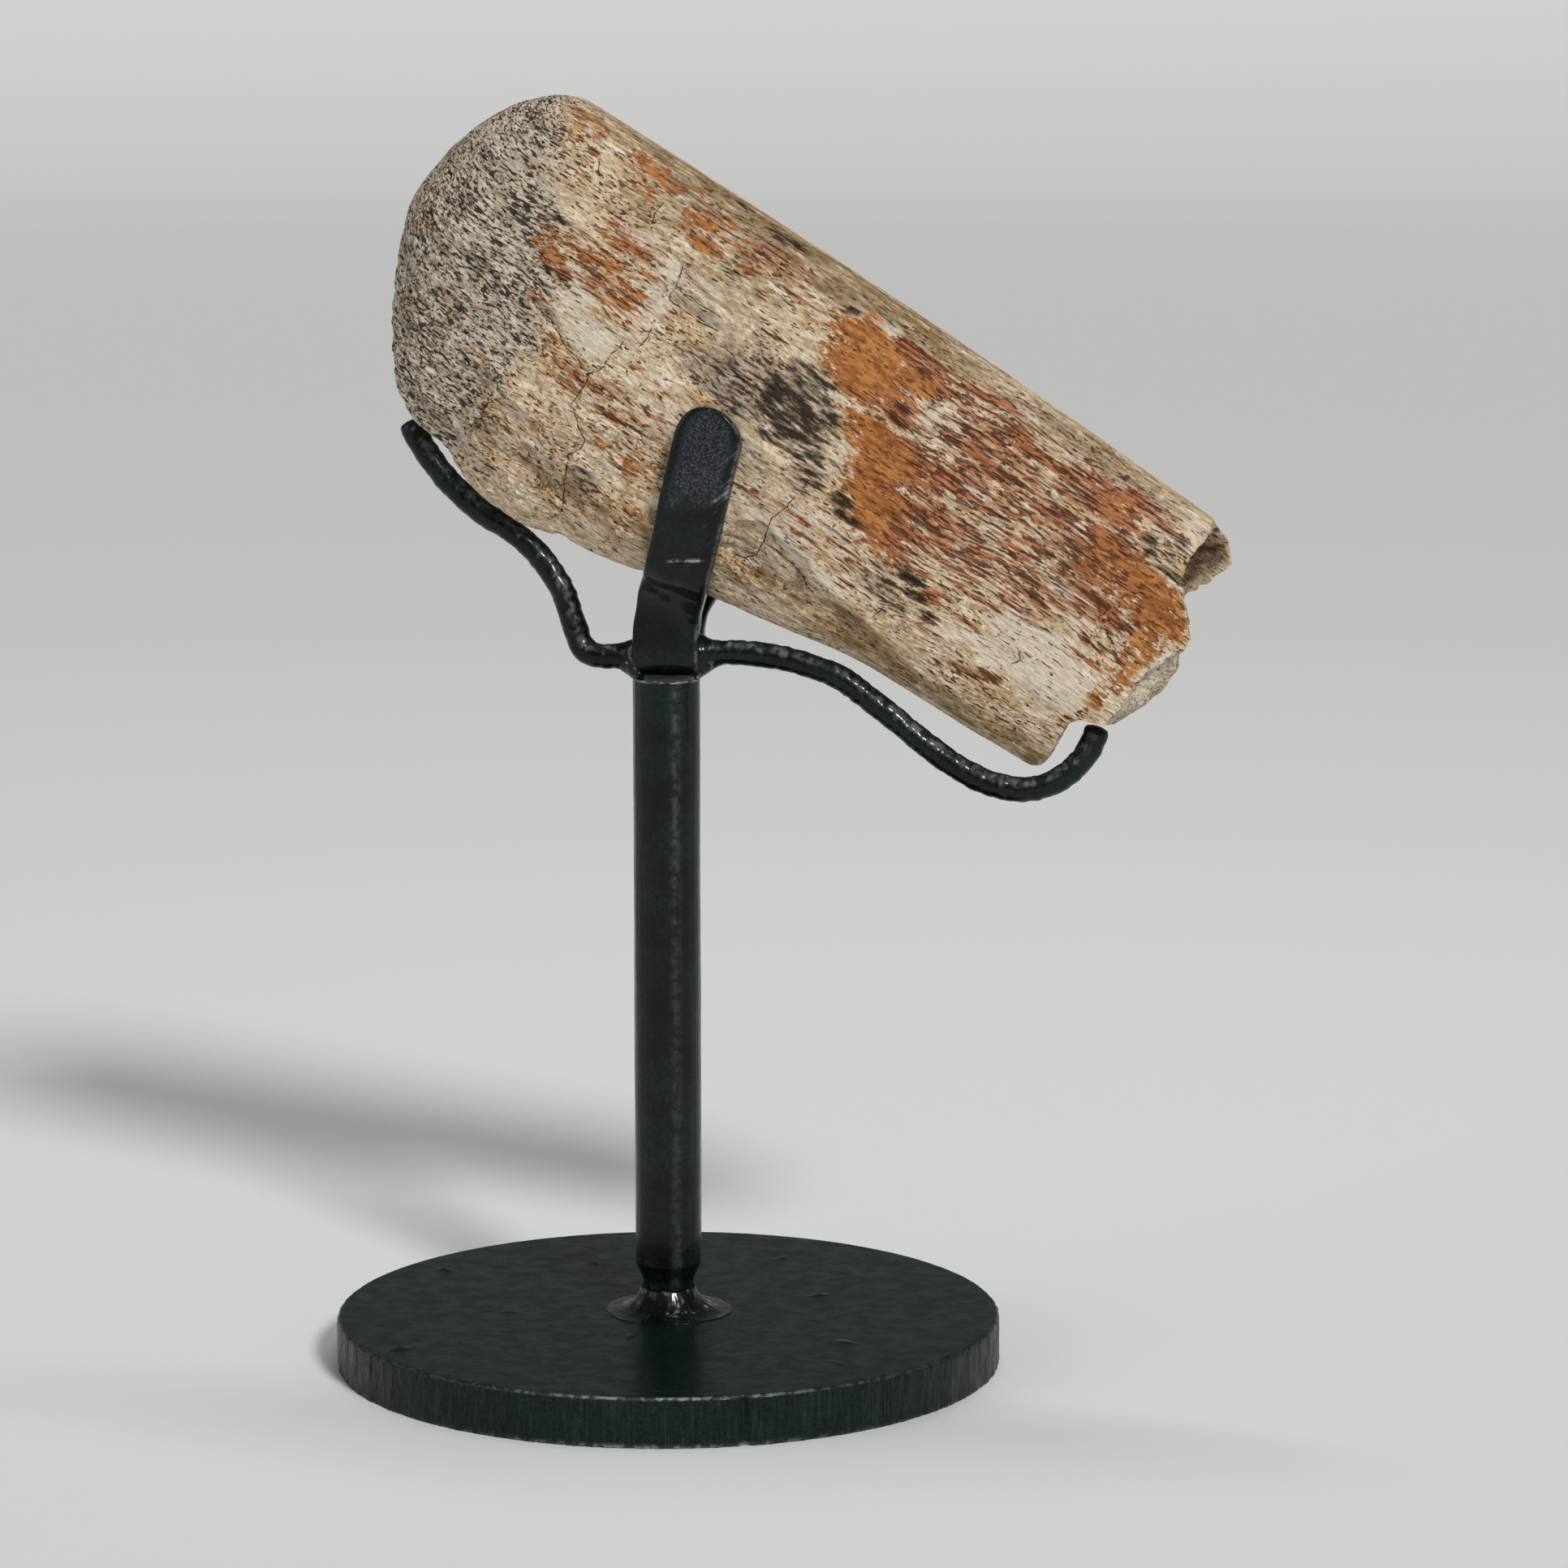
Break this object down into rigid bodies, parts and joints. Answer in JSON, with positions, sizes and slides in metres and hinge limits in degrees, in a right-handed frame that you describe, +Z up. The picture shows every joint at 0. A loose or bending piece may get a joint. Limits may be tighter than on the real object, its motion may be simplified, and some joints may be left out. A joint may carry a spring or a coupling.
{
  "type": "fossil dinosaur rib on stand",
  "caption": "Weathered length of fossil dinosaur rib held at a slant by a forked, bent-bar steel bracket on a round post and a thick round base plate.",
  "frame": {"origin": "centre of the base plate's underside", "axes": "+Z up along the post, the bracket and the rib's long axis lie in the XZ plane with the rib's lower broken end towards +X, and the rib's outer face looks along -Y"},
  "size_m": [0.1691, 0.127, 0.2411],
  "materials": {
    "fossil_bone": "dry weathered mineralised bone, cream with rust brown and grey stains, fine lengthwise grain and pits",
    "black_steel": "satin to glossy black paint with a green cast over hot rolled steel",
    "weld_steel": "glossy black paint over lumpy weld metal"
  },
  "bodies": {
    "root": {"rib_bone": "fossil_bone", "base_plate": "black_steel", "post": "black_steel", "foot_weld": "weld_steel", "prong_strap": "black_steel", "left_arm": "black_steel", "right_arm": "black_steel", "left_arm_weld": "weld_steel", "right_arm_weld": "weld_steel"}
  },
  "joints": []
}
